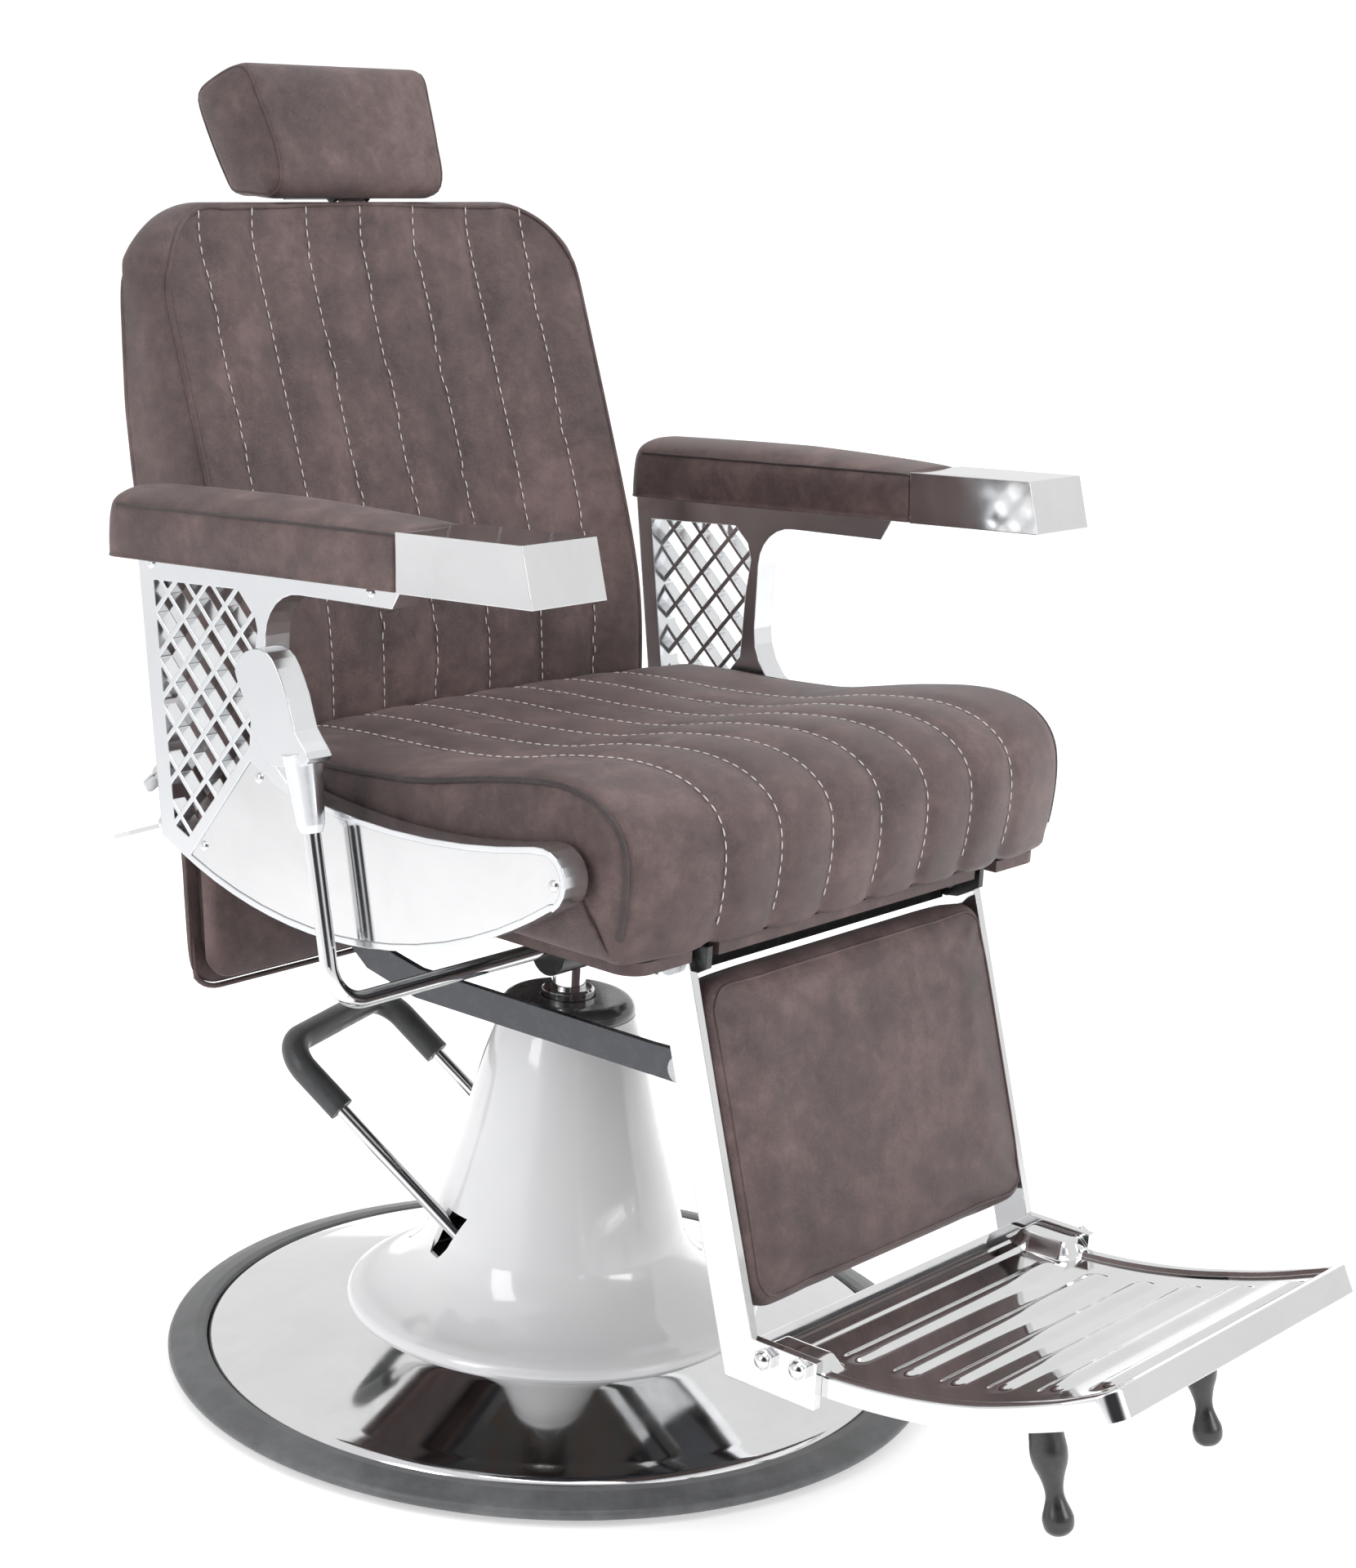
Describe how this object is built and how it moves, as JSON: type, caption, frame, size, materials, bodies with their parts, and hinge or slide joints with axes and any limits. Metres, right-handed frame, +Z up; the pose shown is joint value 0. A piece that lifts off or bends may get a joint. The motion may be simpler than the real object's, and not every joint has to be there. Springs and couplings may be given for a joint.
{
  "type": "hydraulic barber chair",
  "caption": "Hydraulic barber chair with round weighted base, pedal pump column, swivel channel-stitched seat, reclining back, lattice side frames, headrest and linked leg rest with footplate.",
  "frame": {"origin": "on the floor, on the axis of the lifting column", "axes": "+Z up; the sitter faces -Y; +X is the sitter's left"},
  "size_m": [0.717, 1.0674, 1.1069],
  "materials": {
    "black_rubber": "satin black rubber",
    "cast_iron_parts": "rough, dark",
    "polished_chrome": "mirror polished",
    "white_enamel": "glossy white enamel",
    "dark_enamel": "glossy dark grey",
    "steel_parts": "zinc-plated, satin",
    "black_paint": "semi-gloss black",
    "link_paint": "dark blue-grey, satin",
    "plywood": "bare plywood",
    "brown_leather": "distressed brown, soft sheen",
    "polished_aluminium": "bright cast, polished"
  },
  "bodies": {
    "base": {"base_weight": "cast_iron_parts", "base_rim": "black_rubber", "base_cover": "polished_chrome", "column_shroud": "white_enamel", "shroud_collar": "dark_enamel", "pump_cylinder": "cast_iron_parts", "pump_bolts": "steel_parts", "gland_nut": "polished_chrome", "pump_block": "cast_iron_parts", "pedal_spring": "steel_parts"},
    "pedal": {"pedal_shaft": "steel_parts", "pedal_bar": "polished_chrome", "pedal_grip": "black_rubber"},
    "plunger": {"pump_plunger": "steel_parts"},
    "ram": {"ram": "polished_chrome", "ram_piston": "cast_iron_parts"},
    "seat": {"seat_hub": "cast_iron_parts", "seat_subframe": "black_paint", "seat_board": "plywood", "seat_cushion": "brown_leather", "side_frame_right": "polished_aluminium", "side_frame_left": "polished_aluminium", "side_plate_right": "polished_chrome", "side_plate_left": "polished_chrome", "side_plate_screws": "polished_chrome", "side_mounts": "steel_parts", "arm_pad_right": "brown_leather", "arm_pad_left": "brown_leather", "arm_cap_right": "polished_chrome", "arm_cap_left": "polished_chrome", "arm_screws": "steel_parts", "lever_block": "black_paint", "recline_cylinder": "black_paint", "back_pivot_pins": "steel_parts", "leg_pivot_bolts": "steel_parts"},
    "lever": {"lever_rod": "polished_chrome", "lever_grip": "polished_aluminium"},
    "back": {"back_brackets": "steel_parts", "back_board": "plywood", "back_cushion": "brown_leather", "back_cover": "brown_leather", "back_skirt": "brown_leather", "headrest_socket": "steel_parts"},
    "lock_rod": {"recline_rod": "polished_chrome"},
    "stem": {"headrest_stem": "polished_chrome"},
    "headrest": {"headrest_bracket": "steel_parts", "headrest_cushion": "brown_leather"},
    "leg_rest": {"leg_bar_right": "polished_chrome", "leg_bar_left": "polished_chrome", "leg_pad_board": "plywood", "leg_pad": "brown_leather", "footplate": "polished_chrome", "footplate_bolts": "polished_chrome", "foot_spindles": "black_paint", "link_bracket": "steel_parts"},
    "link": {"link_bar": "link_paint"},
    "wing_screw": {"back_wing_screw": "polished_chrome"},
    "thumb_lever": {"back_lock_paddle": "polished_chrome"}
  },
  "joints": [
    {"name": "pedal_hinge", "type": "hinge", "parent": "base", "child": "pedal", "pos_m": [-0.01111, 0.03634, 0.119], "axis": [-0.9563, -0.2924, 0], "range_deg": [0, 25], "stiffness_Nm_per_rad": 5, "springref_deg": -51.57},
    {"name": "plunger_slide", "type": "slide", "parent": "base", "child": "plunger", "axis": [0, 0, -1], "range_m": [0, 0.011]},
    {"name": "ram_lift", "type": "slide", "parent": "base", "child": "ram", "axis": [0, 0, 1], "range_m": [0, 0.15]},
    {"name": "seat_swivel", "type": "hinge", "parent": "ram", "child": "seat", "pos_m": [0, 0, 0.44], "axis": [0, 0, 1], "continuous": true},
    {"name": "lever_hinge", "type": "hinge", "parent": "seat", "child": "lever", "pos_m": [-0.08, -0.06, 0.41], "axis": [-1, 0, 0], "range_deg": [0, 20], "stiffness_Nm_per_rad": 4, "springref_deg": -34.38},
    {"name": "back_recline", "type": "hinge", "parent": "seat", "child": "back", "pos_m": [0, 0.092, 0.459], "axis": [-1, 0, 0], "range_deg": [0, 45]},
    {"name": "lock_rod_slide", "type": "slide", "parent": "seat", "child": "lock_rod", "axis": [0, -1, 0], "range_m": [0, 0.036]},
    {"name": "headrest_height", "type": "slide", "parent": "back", "child": "stem", "axis": [0, 0.0917, 0.9958], "range_m": [0, 0.09]},
    {"name": "headrest_tilt", "type": "hinge", "parent": "stem", "child": "headrest", "pos_m": [0, 0.305, 1], "axis": [-1, 0, 0], "range_deg": [-20, 10]},
    {"name": "leg_rest_lift", "type": "hinge", "parent": "seat", "child": "leg_rest", "pos_m": [0, -0.273, 0.468], "axis": [-1, 0, 0], "range_deg": [0, 29]},
    {"name": "link_hinge", "type": "hinge", "parent": "leg_rest", "child": "link", "pos_m": [-0.153, -0.261, 0.371], "axis": [-1, 0, 0], "range_deg": [-28, 0]},
    {"name": "wing_screw_turn", "type": "hinge", "parent": "seat", "child": "wing_screw", "pos_m": [-0.307, 0.174, 0.543], "axis": [0, 1, 0], "continuous": true},
    {"name": "thumb_lever_turn", "type": "hinge", "parent": "seat", "child": "thumb_lever", "pos_m": [-0.307, 0.166, 0.502], "axis": [0, 1, 0], "range_deg": [-60, 60]}
  ],
  "couplings": [
    {"joint": "plunger_slide", "follows": "pedal_hinge", "m_per_rad": 0.024},
    {"joint": "leg_rest_lift", "follows": "back_recline", "ratio": 0.626},
    {"joint": "link_hinge", "follows": "back_recline", "ratio": -0.595},
    {"joint": "lock_rod_slide", "follows": "back_recline", "m_per_rad": 0.0442}
  ]
}
